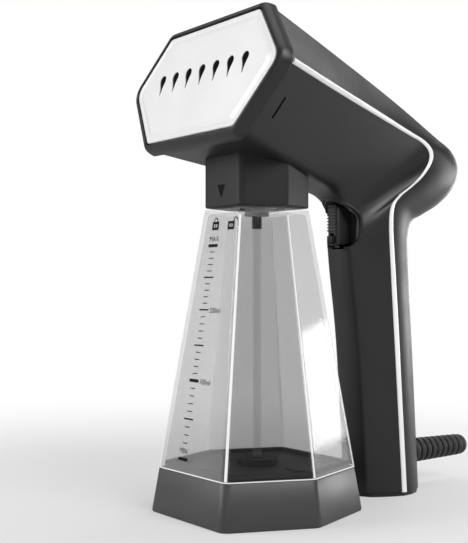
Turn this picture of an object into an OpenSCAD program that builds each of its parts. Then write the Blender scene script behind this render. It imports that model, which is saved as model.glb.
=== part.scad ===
// Handheld garment steamer: a pistol-shaped head and handle over a clear hexagonal water tank.
// The origin is on the table under the middle of the tank. The soleplate faces -Y, the top is +Z.

/* [Head] */
// Lean of the soleplate back from upright, in degrees
head_tilt = 15.5; // [14.5:0.5:16.5]
// Height of the soleplate's middle above the table
head_z = 209; // [208:0.5:210]
// Width of the soleplate across its side corners
plate_w = 116; // [114:1:117]
// Width of the soleplate's top edge
plate_top_w = 72.6; // [70:0.2:74]
// Width of the soleplate's bottom edge
plate_low_w = 71.6; // [70:0.2:74]
// Height of the soleplate above its side corners
plate_up = 26.5; // [25:0.5:27]
// Height of the soleplate below its side corners
plate_down = 29.5; // [28:0.5:30]
// Number of steam holes
holes = 7; // [5:2:7]
// Spacing of the steam holes
hole_pitch = 11.4; // [10.6:0.2:11.6]
// Diameter of a steam hole
hole_d = 3.8; // [3:0.2:4.4]

/* [Tank] */
// Width of the tank's foot across its side corners
tank_w = 94.4; // [92:0.2:95]
// Height of the clear tank's shoulder above the table
tank_top = 147; // [146:0.5:147]
// Height of the dark base cup
base_h = 21.4; // [20:0.2:22]
// Loss of half-width for each millimetre of height
tank_taper = 0.1605; // [0.159:0.0005:0.162]
// Wall of the clear tank
tank_wall = 2; // [1.6:0.2:2.4]

/* [Shells] */
// Wall of the plastic shells
wall = 2.2; // [2:0.1:2.4]
// Width of the white trim strip
trim_w = 3; // [2.6:0.2:3.4]

/* [Trigger] */
// Width of the trigger
trigger_w = 8; // [7:0.5:8]
// Number of grip ribs
ribs = 9; // [6:1:9]
// Spacing of the grip ribs
rib_pitch = 1.6; // [1.4:0.1:1.6]

/* [Hidden] */
slim = 0.15;

// Where the soleplate's middle stands
head_y = -33.8;
// Steam chamber: water inlet above the middle, and the element rod's place and half width
inlet_up = 5.5;
element_y = 25.4;
element_w = 20;
// Tank mouth: underside of the collar, neck radius and the collar's bore
collar_bottom = 147.8;
collar_top = 173.5;
neck_r = 13.5;
bore_r = 16.6;
ledge_top = 151;
lugs = 3;
twist = 30;
floor_z = 22.6;
filter_r = 10;
// Trigger: pivot [y, z], front face and underside
pivot = [60.8, 149.5];
trigger_front = 49.2;
trigger_low = 130.8;
recess_r = 12;
recess_z = 143.5;
recess_low = 128.5;
plunger_z = 134;
spring_z = 143.5;
// Handle: screw heights, and the strain relief's height and bore in the shell
screw_heights = [40, 113];
relief_z = 19.5;
relief_r = 6.8;

// The housing is a bent tube. Each row is one section across it, from the nose to the foot of the handle:
// [inner y, z], [ridge y, z], [outer y, z], half width, inner flat, outer flat, inner and outer roundness.
stations = [
    [-35, 175.5, -26, 207, -18, 236.5, 60.5, 37, 37, 0, 0],
    [0, 167.5, 12, 200.5, 22, 223.5, 48, 25, 30, 0, 0],
    [28, 161.3, 50, 194.3, 66, 208.8, 35.6, 16, 23, 0.1, 0.1],
    [41, 157.5, 78, 189.6, 98, 198, 26.4, 11, 17, 0.3, 0.3],
    [46.5, 153.5, 94, 186.6, 118, 191.3, 22, 9.5, 12, 0.4, 0.6],
    [49, 149.5, 101, 182, 132, 185.5, 21, 9, 9, 0.4, 0.8],
    [50, 146, 101, 176, 139.5, 176.5, 20.3, 9, 8, 0.4, 0.9],
    [50.7, 142.5, 95, 168.5, 136.5, 165, 19.9, 9, 8, 0.4, 1],
    [51.2, 139, 87, 162.5, 125, 155.3, 19.5, 9, 8, 0.4, 1],
    [51.7, 135.5, 79.5, 157.5, 112, 148.8, 19, 9, 8, 0.4, 1],
    [52.2, 131.5, 75, 152, 103, 144.5, 18.5, 9, 8, 0.4, 1],
    [52.9, 125, 74, 143, 99.3, 137, 18.2, 9, 8, 0.4, 1],
    [54, 115, 75, 128, 98.6, 125, 18, 9, 8, 0.4, 1],
    [58.8, 76, 79, 76, 101.5, 76, 17.8, 9, 8, 0.4, 1],
    [63.6, 2, 83.8, 2, 105.5, 2, 18, 9, 8, 0.4, 1]
];
last = len(stations) - 1;
spans = 3;
knee = 0.68;
arc_n = 5;

// Smooth curve through the rows, by Catmull-Rom
function row(i) = stations[min(max(i, 0), last)];
function blend4(a, b, c, d, t) =
    0.5 * (2 * b + (c - a) * t + (2 * a - 5 * b + 4 * c - d) * t * t + (3 * b - a - 3 * c + d) * t * t * t);
function at(s) =
    let (i = min(floor(s), last - 1))
    blend4(row(i - 1), row(i), row(i + 1), row(i + 2), s - i);

// A quarter section runs from the side ridge (t = 0) to the middle of the flat (t = 1).
function quarter(t, flat, k) =
    let (h = t < knee ? [1 - (1 - flat) * t / knee, t / knee] : [flat * (1 - t) / (1 - knee), 1])
    (1 - k) * h + k * [cos(90 * t), sin(90 * t)];
function toward(a, b, d) = a + (b - a) * d / norm(b - a);
// The share of the quarter that covers a distance d from the ridge
function share(d, len, k) = d / len / ((1 - k) / knee + k * 1.571);

function ridge_of(r) = [r[2], r[3]];
function apex_of(r, outer) = outer ? [r[4], r[5]] : [r[0], r[1]];
function flat_of(r, outer) = (outer ? r[8] : r[7]) / r[6];
function round_of(r, outer) = outer ? r[10] : r[9];

// One point of a section: t as above, side is 1 or -1, inset moves it inwards.
function skin(r, outer, t, side, inset) =
    let (
        rd = ridge_of(r),
        ax = toward(apex_of(r, outer), rd, inset),
        q = quarter(t, flat_of(r, outer), round_of(r, outer))
    )
    [side * (r[6] - inset) * q[0], rd[0] + (ax[0] - rd[0]) * q[1], rd[1] + (ax[1] - rd[1]) * q[1]];
// Half a section, from the right trim to the left trim, with a point on each corner of the flat
function arc(r, outer, inset) =
    let (
        t0 = share(trim_w / 2 + slim, norm(ridge_of(r) - apex_of(r, outer)), round_of(r, outer)),
        half = [t0, knee / 3, knee * 2 / 3, knee, (1 + knee) / 2, 1]
    )
    [for (j = [0 : 2 * arc_n]) skin(r, outer, half[arc_n - abs(j - arc_n)], j <= arc_n ? 1 : -1, inset)];
function reversed(v) = [for (i = [len(v) - 1 : -1 : 0]) v[i]];

// End of a loft: one flat face, or for a wall a strip between its outer and its inner arc
function cap(n, first, wall) = wall
    ? [for (j = [0 : n / 2 - 2]) each [[first + j, first + j + 1, first + n - 1 - j],
        [first + j + 1, first + n - 2 - j, first + n - 1 - j]]]
    : [[for (j = [0 : n - 1]) first + j]];
// Closed skin over a list of rings with the same number of points
module loft(rings, wall = false) {
    n = len(rings[0]);
    m = len(rings);
    polyhedron(
        points = [for (r = rings) each r],
        faces = concat(
            cap(n, 0, wall),
            [for (i = [0 : m - 2], j = [0 : n - 1]) each [
                [i * n + j, (i + 1) * n + j, (i + 1) * n + (j + 1) % n],
                [i * n + j, (i + 1) * n + (j + 1) % n, i * n + (j + 1) % n]]],
            [for (f = cap(n, (m - 1) * n, wall)) reversed(f)]
        )
    );
}

module half_shell(outer) {
    rings = [for (i = [0 : last * spans]) let (r = at(i / spans))
        concat(arc(r, outer, 0), reversed(arc(r, outer, wall)))];
    loft(outer ? [for (r = rings) reversed(r)] : rings, true);
}

// Places children in the nose's frame: X across, +Y back into the barrel, +Z up along the soleplate.
module in_head() {
    translate([0, head_y, head_z]) rotate([-head_tilt, 0, 0]) children();
}
// Extrudes a flat outline in X and Z from y0 to y1
module slab(y0, y1) {
    translate([0, y1, 0]) rotate([90, 0, 0]) linear_extrude(y1 - y0) children();
}
module plate_outline(grow = 0) {
    side = plate_w / 2 + grow * 1.15;
    top = plate_top_w / 2 + grow * 0.5;
    low = plate_low_w / 2 + grow * 0.5;
    up = plate_up + grow;
    down = -plate_down - grow;
    polygon([[-top, up], [top, up], [side, 0], [low, down], [-low, down], [-side, 0]]);
}
// Cylinder along X, and along Y
module rod_x(r, len) {
    rotate([0, 90, 0]) cylinder(r = r, h = len, center = true, $fn = 32);
}
module rod_y(r, y0, y1) {
    translate([0, y0, 0]) rotate([-90, 0, 0]) cylinder(r = r, h = y1 - y0, $fn = 40);
}

// Round tube or wire swept along points, smoothed between them
function path_at(p, s) =
    let (n = len(p) - 1, i = min(floor(s), n - 1))
    blend4(p[max(i - 1, 0)], p[i], p[i + 1], p[min(i + 2, n)], s - i);
function unit(v) = v / norm(v);
module sweep(p, r, fine = 4, sides = 10, up = [1, 0, 0]) {
    n = (len(p) - 1) * fine;
    pts = [for (i = [0 : n]) path_at(p, i / fine)];
    loft([for (i = [0 : n])
        let (d = unit(pts[min(i + 1, n)] - pts[max(i - 1, 0)]), a = unit(cross(d, up)), b = cross(d, a))
        [for (j = [0 : sides - 1]) pts[i] + r * (a * cos(-360 * j / sides) + b * sin(-360 * j / sides))]]);
}

// Solid filling the front half of the housing
module front_volume(inset) {
    loft([for (i = [0 : last * spans]) arc(at(i / spans), false, inset)]);
}
// The oval window round the trigger
module recess_outline(inset = 0) {
    translate([0, recess_z]) circle(r = recess_r - inset, $fn = 64);
    translate([inset - recess_r, recess_low + inset])
        square([2 * (recess_r - inset), recess_z - recess_low - inset]);
}

module front_shell() {
    color("#2b2b2d") difference() {
        union() {
            half_shell(false);
            for (z = screw_heights) translate([0, 0, z]) rod_y(4, 64.7 - 0.08 * z, 91);
        }
        collar_prism(collar_bottom - 2, 186, 0.2);
        slab(40, 64) recess_outline();
        for (z = screw_heights) translate([0, 0, z]) rod_y(1.4, 76, 92);
        // Narrow slit low on each side, behind the nose
        for (x = [-1, 1]) in_head() translate([x * 45.4, 16.2, -16.6]) rotate([0, x * 37, 0])
            cube([8, 1.2, 11], center = true);
    }
}

// Back face of the handle at height z
function back_y(z) = 105.6 - 0.054 * z;
module back_shell() {
    color("#343436") difference() {
        union() {
            half_shell(true);
            for (z = screw_heights) translate([0, 0, z]) rod_y(5, 91.4, back_y(z) - 1);
        }
        translate([0, 0, relief_z]) rod_y(relief_r, 92, 120);
        for (z = screw_heights) translate([0, 0, z]) {
            rod_y(3.2, back_y(z) - 3, 120);
            rod_y(1.7, 90, 120);
        }
    }
}

// White strip along one side of the housing, from the nose to the foot
module trim(side) {
    h = trim_w / 2;
    color("#f2f2f2") loft([for (i = [0 : last * spans])
        let (
            r = at(i / spans),
            ti = share(h, norm(ridge_of(r) - apex_of(r, false)), round_of(r, false)),
            to = share(h, norm(ridge_of(r) - apex_of(r, true)), round_of(r, true)),
            low = skin(r, false, ti, side, 0),
            mid = skin(r, false, 0, side, 0),
            top = skin(r, true, to, side, 0),
            in = [side * wall, 0, 0],
            out = [side * 0.35, 0, 0],
            ring = [low + out, mid + out * 1.5, top + out, top - in, low - in]
        )
        side > 0 ? ring : reversed(ring)]);
}
module trim_left() { trim(-1); }
module trim_right() { trim(1); }

module nose_bezel() {
    color("#202022") in_head() difference() {
        hull() {
            slab(-0.4, 0.4) plate_outline(0.9);
            slab(4, 7.6) plate_outline(4.6);
        }
        slab(-2, 9) plate_outline(0.25);
    }
}

module soleplate() {
    color("#dcdcdc") in_head() difference() {
        hull() {
            slab(1, 3.2) plate_outline();
            slab(0, 1) plate_outline(-3.4);
        }
        for (i = [0 : holes - 1]) translate([(i - (holes - 1) / 2) * hole_pitch, 0, 3.5]) {
            rod_y(hole_d / 2, -1, 5);
            slab(-1, 0.7) union() {
                circle(r = 2.7, $fn = 40);
                polygon([[-2.6, -0.8], [2.6, -0.8], [0.5, -8], [-0.5, -8]]);
            }
        }
    }
}

module soleplate_gasket() {
    color("#7a3b2e") in_head() slab(3.3, 5) difference() {
        plate_outline(-2);
        plate_outline(-6);
    }
}

module steam_chamber() {
    color("#b9bcc0") in_head() difference() {
        slab(5.1, 20) plate_outline(-6);
        slab(4, 14) plate_outline(-11);
        translate([0, 0, inlet_up]) rod_y(2.1, 10, 22);
    }
}

module chamber_cover() {
    color("#8f9398") in_head() difference() {
        slab(20.1, 22) plate_outline(-8);
        translate([0, 0, inlet_up]) rod_y(3.2, 18, 24);
    }
}

module chamber_screws() {
    color("#c8c8cc") in_head() for (x = [-36, 36], z = [-8, 8]) translate([x, 0, z]) rod_y(2.6, 22.1, 24);
}

// U-shaped element rod lying on the cover
module heating_element() {
    color("#6d6a66") in_head() translate([0, element_y, -6]) rotate([90, 0, 0]) {
        rotate_extrude(angle = 180, $fn = 64) translate([element_w, 0]) circle(r = 3.2, $fn = 32);
        for (x = [-element_w, element_w])
            translate([x, 0, 0]) rotate([90, 0, 0]) cylinder(r = 3.2, h = 12, $fn = 32);
    }
}

module element_terminals() {
    color("#c9a24a") in_head() for (x = [-element_w, element_w])
        translate([x, element_y, -21.3]) cube([6.4, 0.8, 6.4], center = true);
}

module thermostat() {
    color("#2c2c30") in_head() translate([0, 0, -7.5]) {
        rod_y(6.5, 22.1, 27);
        rod_y(5, 27, 30.5);
    }
}

module thermal_fuse() {
    color("#d8d0c0") in_head() translate([33, 24.4, 0]) cylinder(r = 2, h = 9, center = true, $fn = 32);
}

module heat_shield() {
    color("#c4c6c8") in_head() difference() {
        slab(36, 36.6) scale(0.74) plate_outline(-4);
        translate([0, 0, 2.5]) rod_y(5, 34, 39);
    }
}

pump_y = [46, 82];
module pump() {
    color("#3a3f46") in_head() {
        rod_y(12, pump_y[0], pump_y[1]);
        rod_y(3.2, pump_y[0] - 6, pump_y[0]);
        rod_y(3.2, pump_y[1], pump_y[1] + 6);
    }
}

module pump_bracket() {
    color("#222224") difference() {
        in_head() difference() {
            union() {
                rod_y(15, 60, 68);
                translate([-6, 60, -28.4]) cube([12, 8, 15]);
            }
            rod_y(12.1, 58, 70);
        }
        translate([-10, 0, 150]) cube([20, 60, collar_top - 149.95]);
    }
}

module intake_hose() {
    color("#c9cdd2") sweep([[0, 0, 167.2], [0, 1, 172], [6, 8, 177], [12, 20, 177.5], [12, 30, 171],
        [10, 42, 167.5], [6, 58, 166.5], [3, 67, 172.5], [0, 62, 181.5], [0, 51.3, 185.3]], 2.6, 3);
}

module delivery_hose() {
    color("#c9cdd2") in_head() sweep([[0, 39.6, 0], [0, 37.5, 0], [0, 33.5, 3.6], [0, 28, 5.5],
        [0, 25, 5.5], [0, 22.3, 5.5]], 2.4, 3);
}

function tank_r(z) = tank_w / 2 - tank_taper * z;
// Hexagon of the tank with rounded corners, r from its axis to a side corner
module tank_outline(r, corner) {
    hull() for (x = [-1, 1]) {
        translate([x * (r - 1.04 * corner), 0]) circle(r = corner, $fn = 32);
        for (y = [-1, 1]) translate([x * (0.64 * r - 0.63 * corner), y * (0.91 * r - corner)])
            circle(r = corner, $fn = 32);
    }
}
module tank_solid(z0, z1, inset = 0) {
    r0 = tank_r(z0) - 1.1 * inset;
    r1 = tank_r(z1) - 1.1 * inset;
    translate([0, 0, z0]) linear_extrude(z1 - z0, scale = r1 / r0) tank_outline(r0, 0.1 * r0);
}
// Straight prism with the section of the tank's shoulder
module collar_prism(z0, z1, grow = 0) {
    r = tank_r(tank_top) + grow;
    translate([0, 0, z0]) linear_extrude(z1 - z0) tank_outline(r, 0.2 * r);
}
// Ring sector round the tank's axis
module sector(r0, r1, z0, z1, middle, width) {
    rotate([0, 0, middle - width / 2])
        rotate_extrude(angle = width, $fn = 96) translate([r0, z0]) square([r1 - r0, z1 - z0]);
}
module ring(r0, r1, z0, z1) {
    rotate_extrude($fn = 96) translate([r0, z0]) square([r1 - r0, z1 - z0]);
}

module tank_collar() {
    color("#38383a") difference() {
        collar_prism(collar_bottom, collar_top);
        translate([0, 0, collar_bottom - 1]) cylinder(r = neck_r + 0.4, h = 8, $fn = 96);
        translate([0, 0, ledge_top]) cylinder(r = bore_r, h = 7.6, $fn = 96);
        for (i = [0 : lugs - 1])
            sector(neck_r, bore_r - 0.15, collar_bottom - 1, ledge_top + 0.5, 60 - twist + 120 * i, 28);
        translate([0, 0, 155]) cylinder(r = 3, h = 12, $fn = 48);
        translate([0, 0, 161.5]) cylinder(r = 16.5, h = 20, $fn = 96);
        pointer();
    }
}
// Shallow triangle on the collar's front, pointing down at the tank
module pointer() {
    slab(-40, -0.91 * tank_r(tank_top) + 0.3) polygon([[-3, 157.6], [3, 157.6], [0, 152]]);
}

module collar_screws() {
    color("#c8c8cc") for (a = [90, 210, 330]) rotate([0, 0, a]) translate([6.4, 0, 161.6])
        cylinder(r = 2, h = 1.6, $fn = 32);
}

module intake_spigot() {
    color("#1f1f21") difference() {
        union() {
            translate([0, 0, 148]) cylinder(r = 9.6, h = 10.4, $fn = 64);
            translate([0, 0, 144]) cylinder(r = 6.1, h = 4.2, $fn = 64);
            translate([0, 0, 137.8]) cylinder(r = 2.4, h = 7, $fn = 48);
            translate([0, 0, 158]) cylinder(r = 2.4, h = 9, $fn = 48);
        }
        translate([0, 0, 136]) cylinder(r = 1.2, h = 32, $fn = 32);
        translate([0, 0, 153]) rotate_extrude($fn = 96) translate([10, 0]) circle(r = 1.3, $fn = 32);
    }
}

module spigot_seal() {
    color("#9a3f2c") translate([0, 0, 153])
        rotate_extrude($fn = 96) translate([10, 0]) circle(r = 1.2, $fn = 32);
}

module tank_lock_ring() {
    color("#d8d8d4") {
        ring(neck_r + 0.4, bore_r - 0.3, 153.9, 156.6);
        for (i = [0 : lugs - 1], side = [-1, 1])
            sector(neck_r + 0.5, bore_r - 0.4, ledge_top + 0.3, 154.2, 60 + 120 * i + side * 15.5, 6);
    }
}

module tank_shell() {
    color("#dfe7ea") {
        difference() {
            tank_solid(base_h + 0.1, tank_top);
            tank_solid(base_h - 1, tank_top - tank_wall, tank_wall);
            translate([0, 0, 130]) cylinder(r = neck_r - 2, h = 40, $fn = 96);
        }
        ring(neck_r - 2, neck_r, tank_top - 0.5, 157);
        for (i = [0 : lugs - 1])
            sector(neck_r - 0.5, bore_r - 0.4, ledge_top + 0.25, 153.6, 60 + 120 * i, 22);
    }
}

module tank_base() {
    color("#3a3a3c") difference() {
        tank_solid(0, base_h);
        tank_solid(3.2, base_h + 2, 2.5);
    }
}

module tank_floor() {
    color("#2c2c2e") {
        tank_solid(19, floor_z, 2.9);
        difference() {
            tank_solid(9, 19.1, 3);
            tank_solid(8, 20, 5);
        }
        translate([25, 3.5, floor_z - 0.2]) linear_extrude(1.2) union() {
            square([9, 4], center = true);
            for (x = [-4.5, 4.5]) translate([x, 0]) circle(r = 2, $fn = 32);
        }
    }
}

module floor_seal() {
    color("#1c1c1e") difference() {
        tank_solid(floor_z + 0.05, floor_z + 1.9, 2.15);
        tank_solid(floor_z - 1, floor_z + 3, 4.6);
    }
}

// Clear hose that hangs from the spigot to the tank's floor
module suction_hose() {
    color("#e6eaec") ring(1.7, 2.3, 26.6, 137.7);
}

module suction_filter() {
    color("#151517") difference() {
        union() {
            translate([0, 0, floor_z + 0.2]) cylinder(r = filter_r, h = 3.2, $fn = 64);
            translate([0, 0, floor_z + 3.3]) cylinder(r = 3, h = 0.6, $fn = 48);
        }
        translate([0, 0, floor_z + 1.2]) cylinder(r = 1.6, h = 6, $fn = 32);
    }
}

module trigger() {
    color("#303032") difference() {
        union() {
            hull() for (p = [[trigger_front + 2, 149.8], [trigger_front + 2, trigger_low + 2],
                    [60, trigger_low + 2], [60, 149.8]])
                translate([0, p[0], p[1]]) rod_x(2, trigger_w);
            translate([0, pivot[0], pivot[1]]) rod_x(3, trigger_w);
            for (i = [0 : ribs - 1])
                translate([0, trigger_front, 138.6 + rib_pitch * i])
                    cube([trigger_w - 1, 1, 0.8], center = true);
            translate([-2, 61, plunger_z - 0.8]) cube([4, 2, 1.6]);
        }
        translate([0, pivot[0], pivot[1]]) rod_x(1.36, 20);
        translate([-1.5, 40, 131.9]) cube([3, 13.4, 5.4]);
    }
}

module trigger_lock() {
    color("#0c0c0d") {
        translate([-2.4, 47.6, 131.3]) cube([4.8, 1.5, 4.6]);
        translate([-1.2, 49, 132.2]) cube([2.4, 4, 3]);
    }
}

module trigger_pin() {
    color("#c9c9cd") translate([0, pivot[0], pivot[1]]) rod_x(1.3, 15);
}

module trigger_spring() {
    turns = 5;
    steps = 12;
    color("#b5b5ba") sweep([for (i = [0 : turns * steps]) [2.6 * cos(360 * i / steps),
        62.7 + 6.9 * i / (turns * steps), spring_z + 2.6 * sin(360 * i / steps)]], 0.45, 1, 6, [0, 1, 0]);
}

module trigger_cradle() {
    slot_w = trigger_w + 1.2;
    color("#1e1e20") difference() {
        union() {
            difference() {
                intersection() {
                    slab(42, 59.8) recess_outline(0.3);
                    front_volume(0.5);
                }
                slab(40, 58.3) recess_outline(1.6);
                translate([-slot_w / 2, 48, recess_low]) cube([slot_w, 16, 24.1]);
            }
            for (side = [-1, 1]) translate([side * 6.4 - 1.2, 59.7, 146]) cube([2.4, 4.3, 7]);
        }
        translate([0, pivot[0], pivot[1]]) rod_x(1.32, 30);
    }
}

module microswitch() {
    color("#26303c") difference() {
        translate([-3.2, 66.5, 122]) cube([6.4, 10, 17.5]);
        translate([0, 0, plunger_z]) rod_y(1.68, 60, 73);
    }
}

module switch_plunger() {
    color("#b8322a") translate([0, 0, plunger_z]) rod_y(1.6, 63.3, 70);
}

module switch_holder() {
    color("#4a4a4e") {
        translate([-7, 76.6, 119]) cube([14, 2, 29]);
        translate([-3.5, 70.2, 140.2]) cube([7, 6.5, 6.6]);
    }
}

module control_board() {
    color("#2f6b45") translate([-10, 72, 56]) cube([20, 1.6, 48]);
}

module board_parts() {
    color("#23252a") {
        translate([-8, 67, 62]) cube([10, 4.9, 14]);
        translate([4, 71.9, 90]) rotate([90, 0, 0]) cylinder(r = 3.6, h = 5, $fn = 40);
        translate([-8, 69.4, 84]) cube([6, 2.5, 12]);
    }
}

module lead_wires() {
    color("#8a5a2c") {
        sweep([[-8, 87, 30], [-8.5, 84, 70], [-9, 83, 115], [-9, 82, 148], [-9, 64, 169], [-14, 40, 174.5],
            [-17, 10, 176], [-20, -6, 177.4], [-20, -14.8, 177.2]], 1.1, 3, 6);
        sweep([[8, 87, 30], [9, 85, 42], [6, 77, 58]], 1.1, 3, 6);
        sweep([[5, 75, 102], [8, 80, 113], [9, 83, 135], [9, 79, 158], [11, 60, 174], [15, 40, 177.5],
            [18, 10, 177.5], [20, -6, 177.4], [20, -14.8, 177.2]], 1.1, 3, 6);
    }
}

module cord_clamp() {
    color("#3c3c40") difference() {
        translate([-11, 84, 10]) cube([22, 7, 17]);
        translate([0, 0, relief_z]) rod_y(3.4, 80, 95);
        for (x = [-8, 8]) translate([x, 87, 8]) cylinder(r = 1.4, h = 22, $fn = 32);
    }
}

module clamp_screws() {
    color("#c8c8cc") for (x = [-8, 8]) translate([x, 87, 0]) {
        translate([0, 0, 12]) cylinder(r = 1.35, h = 15.2, $fn = 32);
        translate([0, 0, 27.1]) cylinder(r = 2.4, h = 1.5, $fn = 32);
    }
}

// Ribbed sleeve that protects the lead where it leaves the handle
module strain_relief() {
    rings = 9;
    pitch = 4.3;
    color("#242426") translate([0, 0, relief_z]) rotate([-90, 0, 0]) rotate_extrude($fn = 64) difference() {
        union() {
            translate([0, 94]) square([8.2, 2.2]);
            translate([0, 96]) square([6.6, 9.4]);
            translate([0, 105]) square([5, 40]);
            for (i = [0 : rings - 1])
                translate([0, 105.4 + pitch * i]) square([6.6 - 0.1 * i, pitch - 1.3]);
            translate([0, 105.4 + pitch * rings]) square([5.6, 1.4]);
            translate([1.8, 106.6 + pitch * rings]) circle(r = 3.8, $fn = 40);
        }
        translate([-10, 80]) square([13.3, 80]);
    }
}

module foot_outline(inset) {
    r = at(last);
    polygon([for (outer = [false, true], j = [0 : 2 * arc_n])
        let (t = 1 - abs(j - arc_n) / arc_n, side = (j <= arc_n ? 1 : -1) * (outer ? -1 : 1),
            p = skin(r, outer, t, side, inset))
        [p[0], p[1]]]);
}

module handle_foot() {
    color("#1d1d1f") {
        linear_extrude(1.8) foot_outline(0.5);
        difference() {
            translate([0, 0, 1.7]) linear_extrude(6) foot_outline(wall + 0.35);
            translate([0, 0, 3]) linear_extrude(6) foot_outline(wall + 2);
        }
    }
}

module shell_screws() {
    color("#77777c") for (z = screw_heights) translate([0, 0, z]) {
        rod_y(2.8, back_y(z) - 2.9, back_y(z) - 1.1);
        rod_y(1.3, 78, back_y(z) - 2.5);
    }
}

front_shell();
back_shell();
trim_left();
trim_right();
nose_bezel();
soleplate();
soleplate_gasket();
steam_chamber();
chamber_cover();
chamber_screws();
heating_element();
element_terminals();
thermostat();
thermal_fuse();
heat_shield();
pump();
pump_bracket();
intake_hose();
delivery_hose();
tank_collar();
collar_screws();
intake_spigot();
spigot_seal();
tank_lock_ring();
tank_shell();
tank_base();
tank_floor();
floor_seal();
suction_hose();
suction_filter();
trigger();
trigger_pin();
trigger_spring();
trigger_lock();
trigger_cradle();
microswitch();
switch_plunger();
switch_holder();
control_board();
board_parts();
lead_wires();
cord_clamp();
clamp_screws();
strain_relief();
handle_foot();
shell_screws();
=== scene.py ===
"""Looks for the handheld garment steamer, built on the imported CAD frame."""

import math
from collections import namedtuple

import bmesh
import bpy
from mathutils import Matrix, Vector


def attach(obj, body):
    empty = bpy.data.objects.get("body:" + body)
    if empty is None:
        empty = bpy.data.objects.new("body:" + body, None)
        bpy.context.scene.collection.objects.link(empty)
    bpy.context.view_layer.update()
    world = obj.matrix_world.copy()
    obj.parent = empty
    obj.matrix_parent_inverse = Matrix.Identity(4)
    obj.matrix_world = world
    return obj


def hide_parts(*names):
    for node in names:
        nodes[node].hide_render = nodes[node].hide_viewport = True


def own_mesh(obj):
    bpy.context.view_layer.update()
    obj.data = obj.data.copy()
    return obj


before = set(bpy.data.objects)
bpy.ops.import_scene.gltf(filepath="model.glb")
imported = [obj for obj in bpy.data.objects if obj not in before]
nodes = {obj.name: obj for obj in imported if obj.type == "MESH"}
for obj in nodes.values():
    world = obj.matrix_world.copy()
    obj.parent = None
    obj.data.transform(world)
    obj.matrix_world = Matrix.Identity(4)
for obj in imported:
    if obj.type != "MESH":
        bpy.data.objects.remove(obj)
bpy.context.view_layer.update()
MM = 0.001

# ---------------------------------------------------------------- sizes, in mm, as in the CAD
# Nose: outlines are given as (across, up) at the top, the side and the bottom.
HEAD_TILT = math.radians(15.5)
HEAD_MIDDLE = Vector((0, -33.8, 209))
PLATE = [(36.3, 26.5), (58, 0), (35.8, -29.5)]
PLATE_CORNERS = [3, 6.5, 3]
BARREL = [(37, 30.7), (60.6, 0.2), (37, -32.6)]
BARREL_CORNERS = [4.5, 5, 4.5]
BARREL_START = 7.95
HOLES = 7
HOLE_PITCH = 11.4
HOLE_XS = [(i - (HOLES - 1) / 2) * HOLE_PITCH for i in range(HOLES)]
HOLE_UP = 3.5
HOLE_R = 1.9
GROOVE_R = 2.7
GROOVE_TIP = -8.0
GROOVE_FLOOR_R = 1.95
GROOVE_FLOOR_TIP = -5.6

# Housing
WALL = 2.2
TRIM_W = 3.0
TRIM_GAP = 0.12
TRIM_LIFT = 0.3
SLIT_LEAN = math.radians(37)
SLIT_MIDDLE = (45.4, 16.2, -16.6)
SLIT_HALF = (4, 0.6, 5.5)
BACK_Y = 105.6
BACK_LEAN = 0.054
PAST_BACK = 120
SCREW_HEIGHTS = [40, 113]
SCREW_R = 3.2
SCREW_DEPTH = 4
RELIEF_Z = 19.5
RELIEF_HOLE_R = 6.8
RELIEF_HOLE_START = 95

# Trigger and the recess round it
RECESS_R = 12
RECESS_Z = 143.5
RECESS_LOW = 128.5
RECESS_CORNER = 8.0
RECESS_CUT = (30, 62)
TRIGGER_FRONT = 49.2
TRIGGER_BACK = 62
TRIGGER_RIBS = 9
FIRST_RIB_Z = 138.6
RIB_PITCH = 1.6
RIB_HALF = 0.42
PIVOT_Y = 60.8
PIVOT_Z = 149.5
PIVOT_R = 1.36

# Tank and collar: their hexagon has corners at (1, 0) and (HEX_X, HEX_Y) times its radius, mirrored.
HEX_X = 0.64
HEX_Y = 0.91
CORNER_POINTS = 11
SHARPEST = 0.6
# How far a corner moves in when the walls move in by 1
CORNER_SHIFT = 1.1
TANK_R = 47.2
TANK_TAPER = 0.1605
FOOT_CORNER = 5.2
CORNER_LOSS = 1.8
TANK_TOP = 147
TANK_WALL = 2.0
BASE_H = 21.4
BASE_WALL = 2.6
NECK_R = 13.5
BORE_R = 16.6
LEDGE_TOP = 151
COLLAR_LOW = 147.8
COLLAR_TOP = 173.5
COLLAR_CORNER = 4.6
EDGE_OUT = 0.06
EDGE_IN = 0.5

Section = namedtuple(
    "Section",
    "inner_y inner_z ridge_y ridge_z outer_y outer_z half inner_flat outer_flat inner_round outer_round",
)
# Sections of the housing, in that order of values, from the nose to the foot of the handle
STATIONS = [
    (-35, 175.5, -26, 207, -18, 236.5, 60.5, 37, 37, 0, 0),
    (0, 167.5, 12, 200.5, 22, 223.5, 48, 25, 30, 0, 0),
    (28, 161.3, 50, 194.3, 66, 208.8, 35.6, 16, 23, 0.1, 0.1),
    (41, 157.5, 78, 189.6, 98, 198, 26.4, 11, 17, 0.3, 0.3),
    (46.5, 153.5, 94, 186.6, 118, 191.3, 22, 9.5, 12, 0.4, 0.6),
    (49, 149.5, 101, 182, 132, 185.5, 21, 9, 9, 0.4, 0.8),
    (50, 146, 101, 176, 139.5, 176.5, 20.3, 9, 8, 0.4, 0.9),
    (50.7, 142.5, 95, 168.5, 136.5, 165, 19.9, 9, 8, 0.4, 1),
    (51.2, 139, 87, 162.5, 125, 155.3, 19.5, 9, 8, 0.4, 1),
    (51.7, 135.5, 79.5, 157.5, 112, 148.8, 19, 9, 8, 0.4, 1),
    (52.2, 131.5, 75, 152, 103, 144.5, 18.5, 9, 8, 0.4, 1),
    (52.9, 125, 74, 143, 99.3, 137, 18.2, 9, 8, 0.4, 1),
    (54, 115, 75, 128, 98.6, 125, 18, 9, 8, 0.4, 1),
    (58.8, 76, 79, 76, 101.5, 76, 17.8, 9, 8, 0.4, 1),
    (63.6, 2, 83.8, 2, 105.5, 2, 18, 9, 8, 0.4, 1),
]
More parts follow.
